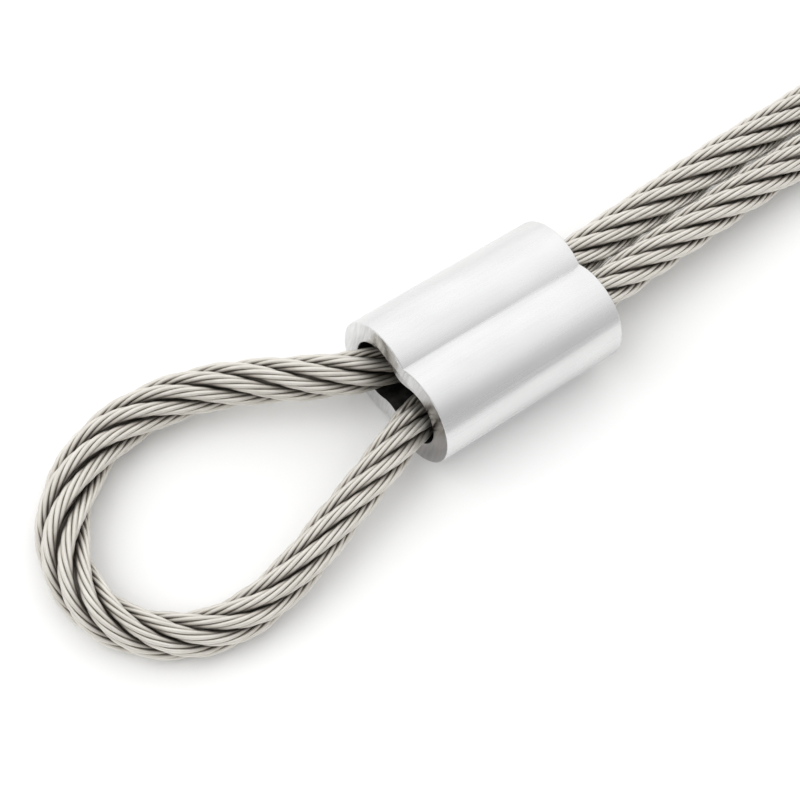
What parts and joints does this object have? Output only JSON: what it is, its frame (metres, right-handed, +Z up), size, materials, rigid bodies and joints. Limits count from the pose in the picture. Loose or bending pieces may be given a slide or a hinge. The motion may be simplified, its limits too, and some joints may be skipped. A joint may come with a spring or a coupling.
{
  "type": "wire rope sling",
  "caption": "Bridle sling of stranded steel wire rope: turned back into an eye through a loose double-barrel sleeve, with a pressed eye at the end of each leg.",
  "frame": {"origin": "on the ground plane under the middle of the sling's box", "axes": "+X along the sling from the middle eye to the end eyes, +Y to the left leg's side, +Z up"},
  "size_m": [0.3085, 0.068, 0.0155],
  "materials": {
    "wire_rope": "bright drawn stainless wires with dark grooves between them",
    "sleeve": "extruded aluminium, satin, with fine lines along its length",
    "pressed_sleeve": "pressed aluminium, satin, with press marks"
  },
  "bodies": {
    "rope_middle": {"left_leg_root": "wire_rope", "right_leg_root": "wire_rope"},
    "middle_sleeve": {"middle_sleeve": "sleeve"},
    "middle_eye": {"middle_eye": "wire_rope"},
    "left_leg": {"left_leg": "wire_rope", "left_end_sleeve": "pressed_sleeve", "left_end_eye": "wire_rope", "left_dead_end": "wire_rope"},
    "right_leg": {"right_leg": "wire_rope", "right_end_sleeve": "pressed_sleeve", "right_end_eye": "wire_rope", "right_dead_end": "wire_rope"}
  },
  "joints": [
    {"name": "sleeve_slide", "type": "slide", "parent": "rope_middle", "child": "middle_sleeve", "axis": [0.9979, 0.064, 0], "range_m": [0, 0.02]},
    {"name": "middle_eye_lift", "type": "hinge", "parent": "rope_middle", "child": "middle_eye", "pos_m": [-0.1104, -0.0048, 0.0064], "axis": [0, 1, 0], "range_deg": [0, 25]},
    {"name": "left_leg_spread", "type": "hinge", "parent": "rope_middle", "child": "left_leg", "pos_m": [-0.0345, 0.00002, 0.0069], "axis": [0, 0, 1], "range_deg": [0, 30]},
    {"name": "right_leg_spread", "type": "hinge", "parent": "rope_middle", "child": "right_leg", "pos_m": [-0.0345, -0.00662, 0.0069], "axis": [0, 0, -1], "range_deg": [0, 30]}
  ]
}
